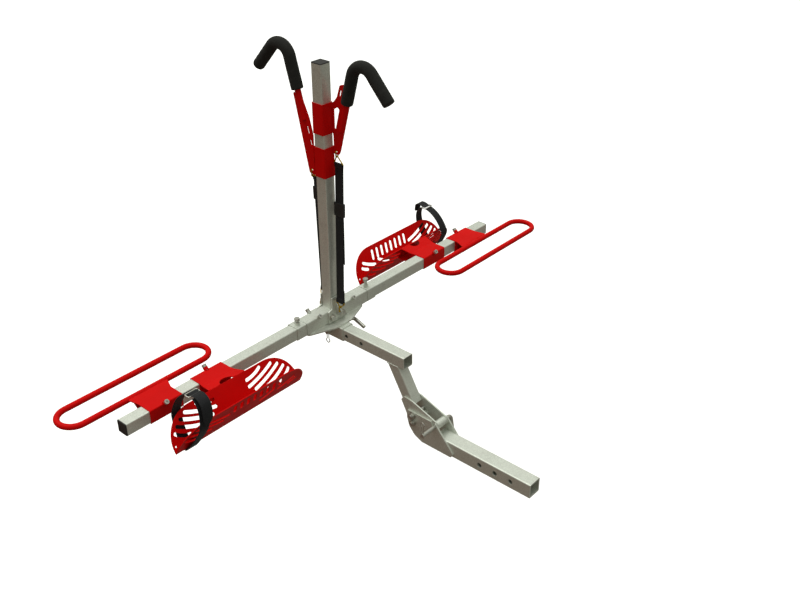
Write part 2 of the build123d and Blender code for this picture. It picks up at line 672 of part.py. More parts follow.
def upper_hook_bracket():
    face = -SLEEVE / 2
    points = [
        (face + 0.5, 600), (-23.8, 590), (-23.3, 533), (-43, 533), (-50, 550), (-92, 700),
        (-99, 726), (-76, 755), (-56, 750), (-43, 712), (-29, 695), (face + 0.5, 691),
    ]
    radii = [0.4, 4, 6, 9, 20, 16, 8, 8, 7, 12, 6, 0.4]
    triangle = rounded([(-27, 671), (-43, 682), (-52, 677), (-34, 612), (-27, 612)], [3, 4, 5, 3, 3])
    ear_slot = Pos(-57, 726) * Rot(0, 0, 105) * SlotOverall(22, 6.5)
    return hook_bracket(599, points, radii, [triangle, ear_slot], UPPER_HOLE_Z, 612, 700, 0)


def lower_hook_bracket():
    face = -SLEEVE / 2
    points = [
        (face + 0.5, 466), (-43, 466), (-48, 488), (-75, 610), (-97, 706), (-78, 712),
        (-60, 690), (-37, 640), (-23.6, 590), (-23.6, 560), (face + 0.5, 555),
    ]
    radii = [0.4, 9, 20, 30, 6, 6, 15, 30, 8, 2, 0.4]
    slots = [
        Pos(-42, 603) * Rot(0, 0, 105) * SlotOverall(26, 7),
        Pos(-32.5, 566) * Rot(0, 0, 105) * SlotOverall(20, 7),
    ]
    return hook_bracket(463, points, radii, slots, LOWER_HOLE_Z, 632, 719, 22)


def ring_and_link(x, y, z, bar_x, bar_y, side, apex_gap=14.0):
    """Triangular ring and the small link that hangs it in a hole at (y, z). side -1 hangs, +1 stands."""
    apex, bar = z + side * apex_gap, z + side * RING_REACH
    half = WEB_WIDTH / 2 + 1.7
    corners = [
        (bar_x, bar_y - half, bar), (bar_x, bar_y + half, bar), (x, y + 1.5, apex), (x, y - 1.5, apex),
    ]
    ring = wire_loop(corners, 1.4, RING_R)
    top, bottom = z - side * 1.8, z + side * (apex_gap + 4.0)
    link = wire_loop([(x - 5, y, top), (x + 5, y, top), (x + 5, y, bottom), (x - 5, y, bottom)], 4.4, 1.7)
    return ring, link


def strap_point(side, top_z, z):
    """Middle of the strap, (x, y), at height z."""
    low_z = LUG_HOLE[1] + RING_REACH
    share = (z - low_z) / (top_z - low_z)
    low_x, top_x = STRAP_X[side]
    return low_x + (top_x - low_x) * share, STRAP_LOW_Y + (STRAP_TOP_Y - STRAP_LOW_Y) * share


def strap_band(side, top_z, z0, z1, shift, thick, width):
    """A straight stretch of band along the strap's own slope."""
    faces = []
    for z in (z0, z1):
        x, y = strap_point(side, top_z, z)
        faces.append(Pos(x + shift, y, z) * Rectangle(thick, width))
    return loft(Sketch() + faces)


def webbing(side, behind, top_z, tail_top, tail_bottom):
    """Flat strap from the lower ring's bar to the upper ring's bar, with its folded tail behind it."""
    ring_gap = RING_R + 0.3
    low_z = LUG_HOLE[1] + RING_REACH
    strap = strap_band(side, top_z, low_z + ring_gap, top_z - ring_gap, 0, WEB_THICK, WEB_WIDTH)
    shift = behind * TAIL_SHIFT
    return [strap, strap_band(side, top_z, tail_bottom, tail_top, shift, WEB_THICK, WEB_WIDTH)]


def keeper(side, behind, top_z, middle_z):
    """Flat sliding buckle round both layers of the strap."""
    thick = WEB_THICK + TAIL_SHIFT
    low, high = middle_z - 22, middle_z + 22
    shift = behind * TAIL_SHIFT / 2
    outside = strap_band(side, top_z, low, high, shift, thick + 5, WEB_WIDTH + 6)
    return outside - strap_band(side, top_z, low - 1, high + 1, shift, thick + 1, WEB_WIDTH + 1)


def build_hooks():
    # side: bracket, strap hole height, ring apex, tube start, foam start, raise, keeper drop,
    # tail's side, placing
    sides = {
        "right": (upper_hook_bracket(), UPPER_HOLE_Z, 14, 612, 700, 0, 147.6, 1, lambda solid: solid),
        "left": (lower_hook_bracket(), LOWER_HOLE_Z, 17.5, 632, 719, 22, 57.5, -1, turned),
    }
    for side, row in sides.items():
        bracket, hole_z, apex_gap, tube_start, foam_start, raise_z, keeper_drop, behind, place = row
        top_z = hole_z - RING_REACH
        keeper_z = top_z - keeper_drop
        low_x, top_x = STRAP_X[side]
        lower_ring = ring_and_link(0, *LUG_HOLE, low_x, STRAP_LOW_Y, 1)
        ring = ring_and_link(HOOK_X, HOOK_HOLE_Y, hole_z, top_x, STRAP_TOP_Y, -1, apex_gap)
        layers = webbing(side, behind, top_z, keeper_z + 30, KEEPER_TAIL_END)
        keep_rack("lower_ring_" + side, *[place(solid) for solid in lower_ring])
        keep_rack("hook_bracket_" + side, place(bracket))
        keep_rack("hook_tube_" + side, place(hook_tube(tube_start, raise_z)))
        keep_rack("foam_grip_" + side, place(foam_grip(foam_start, raise_z)))
        keep_rack("upper_ring_" + side, *[place(solid) for solid in ring])
        keep_rack("strap_webbing_" + side, *[place(layer) for layer in layers])
        keep_rack("strap_keeper_" + side, place(keeper(side, behind, top_z, keeper_z)))


build_hitch()
build_riser()
build_cradle()
build_mast()
build_arms()
build_trays()
build_hoops()
build_hooks()

os.makedirs("parts", exist_ok=True)
for node_name, shape in nodes.items():
    export_step(shape, "parts/" + node_name + ".step")
print(len(nodes), "nodes written")
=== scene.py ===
"""Hitch mounted bike rack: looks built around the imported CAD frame. Metres, row frame, +Z up."""
import json
import math

import bpy
from mathutils import Matrix, Vector, noise


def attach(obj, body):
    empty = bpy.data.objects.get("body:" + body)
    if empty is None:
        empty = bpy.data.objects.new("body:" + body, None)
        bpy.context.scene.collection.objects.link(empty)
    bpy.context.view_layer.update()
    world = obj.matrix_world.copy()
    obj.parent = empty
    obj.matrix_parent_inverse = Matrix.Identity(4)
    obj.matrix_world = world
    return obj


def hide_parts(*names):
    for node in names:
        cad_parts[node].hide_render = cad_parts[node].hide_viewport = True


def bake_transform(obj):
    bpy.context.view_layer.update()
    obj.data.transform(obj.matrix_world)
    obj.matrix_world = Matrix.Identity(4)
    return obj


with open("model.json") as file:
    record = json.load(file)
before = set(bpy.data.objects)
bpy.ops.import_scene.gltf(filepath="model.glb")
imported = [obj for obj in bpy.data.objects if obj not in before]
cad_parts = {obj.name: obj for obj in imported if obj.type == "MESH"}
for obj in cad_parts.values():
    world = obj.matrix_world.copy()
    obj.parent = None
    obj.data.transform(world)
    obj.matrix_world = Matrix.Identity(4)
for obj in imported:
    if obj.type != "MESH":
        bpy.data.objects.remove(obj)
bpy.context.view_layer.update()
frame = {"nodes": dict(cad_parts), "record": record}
NODES = frame["nodes"]

MAST_Y, ARM_TOP_Z = 0.693, 0.295    # the rack's own frame: mast axis, top of the arms


# ---- camera, floor, light ---------------------------------------------------------------------------
def camera():
    data = bpy.data.cameras.new("camera")
    data.lens = 44.53
    data.sensor_width = 36.0
    data.clip_end = 100.0
    cam = bpy.data.objects.new("camera", data)
    right = Vector((0.65830634, -0.75274728, -0.00207035))
    forward = Vector((0.6465485, 0.56683568, -0.51056081))
    up = right.cross(forward)
    turn = Matrix((right, up, -forward)).transposed().to_4x4()
    cam.matrix_world = Matrix.Translation((-1.92133, -1.28926, 1.95502)) @ turn
    bpy.context.scene.collection.objects.link(cam)
    bpy.context.scene.camera = cam


def new_mesh(name, verts, faces, smooth=True):
    mesh = bpy.data.meshes.new(name)
    mesh.from_pydata(verts, [], faces)
    mesh.validate()
    mesh.update()
    if smooth:
        mesh.polygons.foreach_set("use_smooth", [True] * len(mesh.polygons))
    piece = bpy.data.objects.new(name, mesh)
    bpy.context.scene.collection.objects.link(piece)
    return piece


# ---- node materials ---------------------------------------------------------------------------------
class Paint:
    """A material's node tree, built with short calls."""

    def __init__(self, name):
        self.material = bpy.data.materials.new(name)
        self.material.use_nodes = True
        self.tree = self.material.node_tree
        self.shader = self.tree.nodes["Principled BSDF"]
        self.coords = self.tree.nodes.new("ShaderNodeTexCoord")

    def node(self, kind, inputs=None, **settings):
        made = self.tree.nodes.new("ShaderNode" + kind)
        for key, value in settings.items():
            setattr(made, key, value)
        for key, value in (inputs or {}).items():
            self.put(made.inputs[key], value)
        return made

    def put(self, socket, value):
        if isinstance(value, bpy.types.NodeSocket):
            self.tree.links.new(value, socket)
        else:
            socket.default_value = value

    def set(self, **values):
        for key, value in values.items():
            self.put(self.shader.inputs[key.replace("_", " ")], value)

    def noise(self, scale, detail=2.0, roughness=0.5, stretch=None):
        vector = self.coords.outputs["Object"]
        if stretch:
            vector = self.node("Mapping", {"Vector": vector, "Scale": stretch}).outputs["Vector"]
        settings = {"Vector": vector, "Scale": scale, "Detail": detail, "Roughness": roughness}
        return self.node("TexNoise", settings).outputs["Fac"]

    def cells(self, scale, output="Color"):
        made = self.node("TexVoronoi", {"Vector": self.coords.outputs["Object"], "Scale": scale})
        return made.outputs[output]

    def span(self, value, low, high, to_low=0.0, to_high=1.0):
        made = self.node("MapRange", {"Value": value, "From Min": low, "From Max": high,
                                      "To Min": to_low, "To Max": to_high})
        return made.outputs["Result"]

    def math(self, operation, a, b=0.0):
        made = self.node("Math", operation=operation)
        self.put(made.inputs[0], a)
        self.put(made.inputs[1], b)
        return made.outputs[0]

    def mix(self, factor, a, b):
        made = self.node("Mix", data_type="RGBA")
        self.put(made.inputs["Factor"], factor)
        self.put(made.inputs["A"], a)
        self.put(made.inputs["B"], b)
        return made.outputs["Result"]

    def edges(self, radius, spread=0.06):
        """1 along sharp edges, 0 on flat faces."""
        rounded = self.node("Bevel", {"Radius": radius}, samples=4).outputs["Normal"]
        flat = self.node("NewGeometry").outputs["True Normal"]
        dot = self.node("VectorMath", {0: rounded, 1: flat}, operation="DOT_PRODUCT").outputs["Value"]
        return self.span(dot, 1.0 - spread / 4, 1.0 - spread, 0.0, 1.0)

    def bump(self, *layers):
        """layers: (height socket, strength, distance); the shader's normal is set to their sum."""
        normal = None
        for height, strength, distance in layers:
            made = self.node("Bump", {"Height": height, "Strength": strength, "Distance": distance})
            if normal is not None:
                self.put(made.inputs["Normal"], normal)
            normal = made.outputs["Normal"]
        self.put(self.shader.inputs["Normal"], normal)


def silver_coat():
    """Silver powder coat: metallic flakes in a slightly rough, greenish grey film, paler in patches along
    its edges, partly from wear and partly as a painted edge highlight.
    """
    p = Paint("silver_coat_paint")
    flakes = p.span(p.node("SeparateColor", {"Color": p.cells(620)}).outputs[0], 0.0, 1.0)
    film = p.mix(flakes, (0.575, 0.60, 0.54, 1), (0.80, 0.84, 0.765, 1))
    cloud = p.span(p.noise(9, 3), 0.3, 0.7)
    film = p.mix(p.math("MULTIPLY", cloud, 0.35), film, (0.66, 0.655, 0.60, 1))
    # paler in patches along every edge: partly rubbed coat, partly a painted edge highlight
    wear_and_edge_highlight = p.math("MULTIPLY", p.edges(0.0012), p.span(p.noise(60, 4), 0.45, 0.62))
    colour = p.mix(p.math("MULTIPLY", wear_and_edge_highlight, 0.45), film, (0.90, 0.90, 0.86, 1))
    dirt = p.span(p.noise(22, 5, 0.65), 0.56, 0.74, 0.0, 0.22)
    colour = p.mix(dirt, colour, (0.36, 0.345, 0.30, 1))
    p.set(Base_Color=colour, Metallic=0.62, Specular_IOR_Level=0.35)
    p.set(Roughness=p.span(p.math("ADD", flakes, cloud), 0.0, 2.0, 0.40, 0.56))
    p.bump((p.noise(420, 2), 0.25, 0.00025), (p.cells(900, "Distance"), 0.12, 0.0002))
    return p.material


def red_coat():
    """Satin red powder coat with a faint orange peel, paler in patches along its edges, partly from wear
    and partly as a painted edge highlight.
    """
    p = Paint("red_coat_paint")
    cloud = p.span(p.noise(11, 3), 0.3, 0.7)
    colour = p.mix(cloud, (0.60, 0.0022, 0.002, 1), (0.68, 0.0030, 0.0027, 1))
    fleck = p.span(p.node("SeparateColor", {"Color": p.cells(700)}).outputs[0], 0.0, 1.0)
    colour = p.mix(p.math("MULTIPLY", fleck, 0.10), colour, (0.80, 0.009, 0.008, 1))
    # paler red in patches along every edge: partly rubbed coat, partly a painted edge highlight
    wear_and_edge_highlight = p.math("MULTIPLY", p.edges(0.0010), p.span(p.noise(75, 4), 0.52, 0.66))
    colour = p.mix(p.math("MULTIPLY", wear_and_edge_highlight, 0.35), colour, (0.86, 0.10, 0.08, 1))
    p.set(Base_Color=colour, Specular_IOR_Level=0.06)
    p.set(Roughness=p.span(p.noise(35, 3), 0.3, 0.7, 0.34, 0.46))
    p.bump((p.noise(330, 2), 0.22, 0.0003), (p.noise(1400, 1), 0.10, 0.0001))
    return p.material


def zinc_hardware():
    """Zinc plated steel: bright, faintly blue and yellow in patches, with fine drawn lines."""
    p = Paint("zinc_plating")
    patch = p.span(p.noise(160, 3), 0.35, 0.65)
    colour = p.mix(patch, (0.50, 0.505, 0.49, 1), (0.58, 0.56, 0.48, 1))
    stain = p.span(p.noise(480, 4, 0.7), 0.60, 0.75, 0.0, 0.5)
    colour = p.mix(stain, colour, (0.30, 0.28, 0.24, 1))
    p.set(Base_Color=colour, Metallic=0.9)
    p.set(Roughness=p.span(p.noise(700, 3), 0.3, 0.7, 0.26, 0.44))
    p.bump((p.noise(900, 3), 0.25, 0.0001), (p.noise(260, 2, 0.5, (1, 1, 9)), 0.15, 0.0001))
    return p.material


def brass_wire():
    """Yellow passivated wire."""
    p = Paint("brass_wire_plating")
    patch = p.span(p.noise(240, 3), 0.35, 0.65)
    colour = p.mix(patch, (0.46, 0.29, 0.018, 1), (0.62, 0.42, 0.035, 1))
    wear_and_edge_highlight = p.span(p.noise(900, 4, 0.7), 0.58, 0.72, 0.0, 0.6)
    colour = p.mix(wear_and_edge_highlight, colour, (0.30, 0.19, 0.03, 1))
    p.set(Base_Color=colour, Metallic=0.85)
    p.set(Roughness=p.span(p.noise(500, 2), 0.3, 0.7, 0.28, 0.44))
    p.bump((p.noise(1500, 2), 0.2, 0.0001))
    return p.material


def black_foam():
    """Closed cell foam: matt black with open pores and faint scuffs; each pore's pit is painted darker, a
    painted shade.
    """
    p = Paint("black_foam_cells")
    pores = p.cells(1100, "Distance")
    scuff = p.span(p.noise(70, 4, 0.6), 0.5, 0.72, 0.0, 0.5)
    # darker towards each pore's middle, where the bump sinks: painted shade in the pores
    colour = p.mix(p.span(pores, 0.1, 0.6), (0.006, 0.006, 0.0055, 1), (0.021, 0.021, 0.019, 1))
    colour = p.mix(scuff, colour, (0.034, 0.033, 0.030, 1))
    p.set(Base_Color=colour, Roughness=0.88, Specular_IOR_Level=0.2)
    p.set(Sheen_Weight=0.05, Sheen_Roughness=0.5)
    p.bump((pores, 0.55, 0.0004), (p.noise(240, 3), 0.35, 0.0005))
    return p.material


def black_webbing():
    """Woven nylon webbing: a herringbone of yarns, from the strap's own length and width. Its ridges are
    painted lighter and its grooves darker: painted highlight and shade.
    """
    p = Paint("black_webbing_weave")
    split = p.node("SeparateXYZ", {"Vector": p.coords.outputs["UV"]})
    along, across = split.outputs["X"], split.outputs["Y"]
    zigzag = p.math("PINGPONG", across, 0.0032)
    twill = p.math("SINE", p.math("MULTIPLY", p.math("ADD", along, zigzag), 2 * math.pi / 0.0022))
    yarn = p.math("SINE", p.math("MULTIPLY", across, 2 * math.pi / 0.0011))
    weave = p.math("ADD", p.math("MULTIPLY", twill, 0.6), p.math("MULTIPLY", yarn, 0.4))
    # lighter on the weave's ridges, darker in its grooves, as in the bump: painted highlight and painted
    # shade
    light = p.span(weave, -1.0, 1.0)
    colour = p.mix(light, (0.0035, 0.0036, 0.0045, 1), (0.016, 0.017, 0.021, 1))
    fuzz = p.span(p.noise(120, 4), 0.5, 0.75, 0.0, 0.4)
    colour = p.mix(fuzz, colour, (0.022, 0.023, 0.026, 1))
    p.set(Base_Color=colour, Roughness=0.72, Specular_IOR_Level=0.25)
    p.set(Sheen_Weight=0.12, Sheen_Roughness=0.4)
    p.bump((weave, 0.5, 0.0003), (p.noise(2500, 2), 0.3, 0.0001))
    return p.material


def black_plastic():
    """Moulded black plastic with a fine spark-eroded grain, and a painted highlight along its edges."""
    p = Paint("black_plastic_grain")
    cloud = p.span(p.noise(40, 3), 0.35, 0.65)
    colour = p.mix(cloud, (0.010, 0.010, 0.011, 1), (0.019, 0.019, 0.020, 1))
    # paler along every edge: a painted edge highlight
    pale = p.math("MULTIPLY", p.edges(0.0008), 0.5)
    colour = p.mix(pale, colour, (0.05, 0.05, 0.052, 1))
    p.set(Base_Color=colour, Specular_IOR_Level=0.45)
    p.set(Roughness=p.span(p.noise(300, 2), 0.3, 0.7, 0.42, 0.58))
    p.bump((p.cells(2600, "Distance"), 0.3, 0.0001))
    return p.material


def studio_floor():
    p = Paint("floor_paper")
    grain = p.span(p.noise(3, 3), 0.3, 0.7)
    p.set(Base_Color=p.mix(grain, (0.93, 0.93, 0.93, 1), (0.955, 0.955, 0.955, 1)), Roughness=0.9)
    p.set(Emission_Color=(1, 1, 1, 1), Emission_Strength=0.35)
    return p.material


PAINTS = {
    "silver_coat": silver_coat(),
    "red_coat": red_coat(),
    "zinc_hardware": zinc_hardware(),
    "brass_wire": brass_wire(),
    "black_foam": black_foam(),
    "black_webbing": black_webbing(),
    "black_plastic": black_plastic(),
}


def floor():
    size, z = 40.0, -0.45
    corners = [(-size, -size, z), (size, -size, z), (size, size, z), (-size, size, z)]
    piece = new_mesh("floor", corners, [(0, 1, 2, 3)], smooth=False)
    piece.data.materials.append(studio_floor())
    piece.visible_diffuse = False
    piece.visible_glossy = False


def lights():
    """One wide soft sun overhead, and a world that is pale above, warm low on -X and grey low on +X."""
    sun = bpy.data.lights.new("overhead", "SUN")
    sun.energy = 1.5
    sun.angle = math.radians(55)
    sun.color = (1.0, 1.0, 0.975)
    lamp = bpy.data.objects.new("overhead", sun)
    lamp.rotation_euler = Vector((-0.06, 0.32, 1.0)).to_track_quat("Z", "Y").to_euler()
    bpy.context.scene.collection.objects.link(lamp)

    world = bpy.data.worlds.new("studio")
    bpy.context.scene.world = world
    world.use_nodes = True
    tree = world.node_tree
    new, link = tree.nodes.new, tree.links.new
    direction = new("ShaderNodeTexCoord").outputs["Generated"]

    def slope(axis, low, high):
        dot = new("ShaderNodeVectorMath")
        dot.operation = "DOT_PRODUCT"
        link(direction, dot.inputs[0])
        dot.inputs[1].default_value = Vector(axis).normalized()
        ramp = new("ShaderNodeMapRange")
        ramp.interpolation_type = "SMOOTHSTEP"
        ramp.inputs["From Min"].default_value = low
        ramp.inputs["From Max"].default_value = high
        link(dot.outputs["Value"], ramp.inputs["Value"])
        return ramp.outputs["Result"]

    def blend(factor, a, b):
        made = new("ShaderNodeMix")
        made.data_type = "RGBA"
        link(factor, made.inputs["Factor"])
        for key, value in (("A", a), ("B", b)):
            if isinstance(value, tuple):
                made.inputs[key].default_value = value
            else:
                link(value, made.inputs[key])
        return made.outputs["Result"]

    warm, grey, pale = (0.14, 0.09, 0.066, 1), (0.23, 0.22, 0.19, 1), (0.63, 0.66, 0.60, 1)
    low = blend(slope((1, -1, 0), -0.75, 0.75), warm, grey)
    sky = blend(slope((0, 0, 1), -0.08, 0.80), low, pale)
    link(sky, tree.nodes["Background"].inputs["Color"])
    tree.nodes["Background"].inputs["Strength"].default_value = 1.0
    bpy.context.scene.view_settings.view_transform = "Standard"


def paint(piece, slot):
    piece.data.materials.clear()
    piece.data.materials.append(PAINTS[slot])


def paint_frame():
    for part in frame["record"]["subparts"]:
        paint(NODES[part["node"]], part["material_slot"])


# ---- shared shapes ----------------------------------------------------------------------------------
def place(side, x, y, z):
    """A point in the rack's frame, mm, on this side's half; the left half is the right one turned 180."""
    turn = 1 if side == "right" else -1
    return Vector((turn * x / 1000, turn * y / 1000 + MAST_Y, z / 1000 + ARM_TOP_Z))


def dress(piece, slot, body, *replaced):
    paint(piece, slot)
    if replaced:
        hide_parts(*replaced)
    if body:
        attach(piece, body)
    return piece


def smooth_path(points, step):
    """Evenly spaced points on a Catmull-Rom curve through the given ones."""
    points = [Vector(p) for p in points]
    ends = [2 * points[0] - points[1]] + points + [2 * points[-1] - points[-2]]
    fine = []
    for a, b, c, d in zip(ends, ends[1:], ends[2:], ends[3:]):
        count = max(2, math.ceil((c - b).length / step) * 3)
        for index in range(count):
            t = index / count
            fine.append(0.5 * (2 * b + (c - a) * t + (2 * a - 5 * b + 4 * c - d) * t * t
                               + (3 * b - a - 3 * c + d) * t ** 3))
    fine.append(points[-1])
    return resample(fine, step)


def resample(points, step):
    lengths = [0.0]
    for a, b in zip(points, points[1:]):
        lengths.append(lengths[-1] + (b - a).length)
    count = max(2, round(lengths[-1] / step))
    result, index = [], 0
    for number in range(count + 1):
        target = lengths[-1] * number / count
        while index < len(points) - 2 and lengths[index + 1] < target:
            index += 1
        span = lengths[index + 1] - lengths[index]
        share = (target - lengths[index]) / span if span else 0
        result.append(points[index].lerp(points[index + 1], share))
    return result


def tangents(points):
    last = len(points) - 1
    spans = [(points[max(i - 1, 0)], points[min(i + 1, last)]) for i in range(last + 1)]
    return [(after - before).normalized() for before, after in spans]


def grid_faces(rows, columns, closed_round):
    faces = []
    for row in range(rows - 1):
        for column in range(columns if closed_round else columns - 1):
            after = (column + 1) % columns
            faces.append((row * columns + column, row * columns + after,
                          (row + 1) * columns + after, (row + 1) * columns + column))
    return faces


def put_uv(piece, uvs):
    layer = piece.data.uv_layers.new(name="UVMap")
    for loop in piece.data.loops:
        layer.data[loop.index].uv = uvs[loop.vertex_index]


# ---- foam grips -------------------------------------------------------------------------------------
HOOK_X = 19.75                                   # mm in the rack's frame, as all the sizes below
GRIP_START = {"right": 700.0, "left": 719.0}     # height of the grip's lower end
GRIP_RAISE = {"right": 0.0, "left": 22.0}        # how much higher this side's bend lies
GRIP_R, HOOK_TUBE_R, HOOK_BEND_R = 18.5, 9.5, 43.0
GRIP_END_R = 17.4                                # the grip tapers to this over its last stretch
GRIP_STEP = 2.5                                  # between rings along the grip
HOOK_CORNER_Z = 863.0                            # where the hook's two straights would meet
HOOK_LEG = 173.0                                 # from that corner to the tip
HOOK_LEG_AIM = (-0.675, -0.738)                  # the leg's direction in (y, z)


def grip_line(side):
    """Points along a hook's centre line in (y, z), one every GRIP_STEP, and its bend's centre."""
    raised = GRIP_RAISE[side]

    def arm_y(z):
        return -35.5 - 0.2813 * (z - raised - 540)

    start = Vector((arm_y(GRIP_START[side]), GRIP_START[side]))
    corner = Vector((arm_y(HOOK_CORNER_Z + raised), HOOK_CORNER_Z + raised))
    up = (corner - start).normalized()
    down = Vector(HOOK_LEG_AIM).normalized()
    tip = corner + down * HOOK_LEG
    turn = up.angle(down)
    cut = HOOK_BEND_R * math.tan(turn / 2)
    left_of_up = Vector((-up.y, up.x))
    centre = corner - up * cut + left_of_up * HOOK_BEND_R
    points = [start, corner - up * cut]
    count = 24
    for index in range(1, count):
        angle = turn * index / count
        spoke = -left_of_up
        spoke = Vector((spoke.x * math.cos(angle) - spoke.y * math.sin(angle),
                        spoke.x * math.sin(angle) + spoke.y * math.cos(angle)))
        points.append(centre + spoke * HOOK_BEND_R)
    points += [corner + down * cut, tip]
    return resample(points, GRIP_STEP), centre


def foam_grip(side):
    """Thick foam sleeve: rounded ends, fine dents, and creases on the inside of the bend."""
    line, centre = grip_line(side)
    directions = tangents(line)
    around = 44
    # each ring: its point on the line, radius, and how far it sits beyond that point
    rings = [
        (0, HOOK_TUBE_R - 0.6, 6.0), (0, HOOK_TUBE_R + 0.2, 0.0), (0, 15.8, -0.3), (0, GRIP_END_R, 0.4),
    ]
    last = len(line) - 1
    for index in range(1, last):
        ease = min(1.0, min(index, last - index) * GRIP_STEP / 5.0)
        rings.append((index, GRIP_END_R + (GRIP_R - GRIP_END_R) * math.sin(ease * math.pi / 2), 0.0))
    rings += [(last, 17.2, 0.0), (last, 15.6, 0.7), (last, 9.0, 1.0), (last, 0.05, 0.6)]
    verts = []
    dent_seed = 3.7 if side == "right" else 9.1
    for index, radius, forward in rings:
        point = line[index] + directions[index] * forward
        out = Vector((-directions[index].y, directions[index].x))
        inward = centre - line[index]
        bend = max(0.0, 1.0 - abs(inward.length - HOOK_BEND_R) / 5.0)
        for step in range(around):
            angle = 2 * math.pi * step / around
            inner = math.cos(angle)
            r = radius
            if radius > 17:
                crease = bend * max(0.0, inner) ** 2
                r -= crease * 1.1 * (0.5 + 0.5 * math.sin(index * GRIP_STEP / 8.0 * 2 * math.pi))
                where = Vector((math.cos(angle) * 2.2, math.sin(angle) * 2.2, index * 0.16 + dent_seed))
                r += 0.28 * noise.noise(where) + 0.10 * noise.noise(where * 4.3)
            y, z = point + out * (inner * r)
            verts.append(place(side, HOOK_X + math.sin(angle) * r, y, z))
    piece = new_mesh("foam_" + side, verts, grid_faces(len(rings), around, True))
    dress(piece, "black_foam", "hook_" + side, "foam_grip_" + side)


# ---- ribbons: webbing modelled as a ribbed band -----------------------------------------------------
WEB_WIDTH = 0.033    # metres


def ribbon(name, points, width_axes, width, thickness, pointed=0.0, ribs=11):
    """A ribbed band along points (metres), closed at both ends, pointed over its last stretch if asked.

    width_axes gives each point's direction across the band.
    """
    directions = tangents(points)
    columns = ribs * 4 + 1
    verts, uvs = [], []
    run = 0.0
    total = sum((b - a).length for a, b in zip(points, points[1:]))
    for index, point in enumerate(points):
        if index:
            run += (point - points[index - 1]).length
        across = width_axes[index]
        across = (across - directions[index] * across.dot(directions[index])).normalized()
        normal = directions[index].cross(across)
        half = width / 2
        if pointed and total - run < pointed:
            half *= max(0.12, (total - run) / pointed) ** 0.8
        ring = []
        for face in (1, -1):
            for column in range(columns):
                share = face * (column / (columns - 1) * 2 - 1)
                rib = 0.00012 * math.cos(share * ribs * math.pi)
                rim = 1.0 - 0.55 * max(0.0, abs(share) - 0.93) / 0.07
                ring.append((share, face * (thickness / 2 * rim + rib)))
        for share, lift in ring:
            verts.append(point + across * (share * half) + normal * lift)
            uvs.append((run, share * half))
    around = columns * 2
    faces = grid_faces(len(points), around, True)
    for base, flip in ((0, False), ((len(points) - 1) * around, True)):
        for column in range(columns - 1):
            opposite = base + around - 1 - column
            quad = (base + column, base + column + 1, opposite - 1, opposite)
            faces.append(quad if flip else quad[::-1])
    piece = new_mesh(name, verts, faces)
    put_uv(piece, uvs)
    return piece


# ---- hook straps ------------------------------------------------------------------------------------
# (x, y, z) of a strap's middle at its lower and upper ring's bar
STRAP_LOW = {"right": (-2.8, -47.0, 37.5), "left": (-20.5, -47.0, 37.5)}
STRAP_TOP = {"right": (16.2, -43.2, 506.6), "left": (-7.4, -43.2, 443.5)}
KEEPER_Z = {"right": 359.0, "left": 386.0}
TAIL_END_Z = 175.0


def hook_strap(side):
    """One length of webbing: sewn loop on the lower ring, over the upper ring, down to a loose tail."""
    low, top = Vector(STRAP_LOW[side]), Vector(STRAP_TOP[side])
    along = (top - low).normalized()
    length = (top - low).length
    across = (Vector((0, 1, 0)) - along * along.y).normalized()
    turn = 1 if side == "right" else -1
    behind = Vector((turn, 0, 0))
    behind = (behind - along * behind.dot(along)).normalized()
    keeper = KEEPER_Z[side] - low.z
    tail = TAIL_END_Z - low.z
    bar = 3.0    # radius of the webbing's middle round a ring's bar
    # (distance along the strap, distance behind it)
    flat = [
        (46, 2.0), (30, 2.0), (14, 2.3), (4, bar), (-1.6, 2.4), (-bar, 0), (-1.6, -2.4), (4, -bar),
        (14, -0.8), (24, 0), (length / 2, 0), (length - 24, 0), (length - 14, -0.8), (length - 4, -bar),
        (length + 1.6, -2.4), (length + bar, 0), (length + 1.6, 2.4), (length - 4, bar),
        (length - 14, 2.3), (length - 24, 2.0), (keeper + 30, 2.0), (keeper + 10, 2.0), (keeper - 24, 2.1),
        (keeper - 45, 2.9), ((keeper - 45 + tail) / 2, 4.3), (tail, 5.6),
    ]
    points = [low + along * u + behind * w for u, w in flat]
    points = [place(side, *p) for p in smooth_path(points, 3.5)]
    piece = ribbon("hook_strap_" + side, points, [across * turn] * len(points), WEB_WIDTH, 0.0016)
    dress(piece, "black_webbing", None, "strap_webbing_" + side)
    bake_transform(piece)


# ---- wheel straps -----------------------------------------------------------------------------------
STRAP_MIDDLE = (668.0, 128.0, -2.0)
# half width, rise and drop from the middle, and the upper half's lean in Y for each mm of rise
STRAP_OVAL = {"right": (63.0, 70.0, 85.0, 0.36), "left": (60.0, 88.0, 85.0, 0.15)}
# how much narrower the loop gets towards the tray's fold, on its outer side and towards the mast
STRAP_WAIST_NEAR, STRAP_WAIST_FAR = 0.6, 0.35
STRAP_SKEW = {"right": 0.08, "left": 0.0}        # shift along X for each mm of Y
STRAP_SLANT = {"right": 0.0, "left": 0.15}       # shift along X for each mm below its level
STRAP_LEVEL = 20.0                               # where the slant is nothing, below the loop's top
# the tail's (y, z) from the loop's highest point
STRAP_TAIL = {
    "right": [(11, 3.5), (24, 6.5), (38, 5), (46, 0), (49, -9), (50, -20), (51, -30)],
    "left": [(11, 3.5), (24, 5), (40, 0), (53, -12), (61, -32), (63, -54), (61, -76)],
}
STRAP_POINT = {"right": 0.004, "left": 0.026}    # length of the tail's pointed end, metres


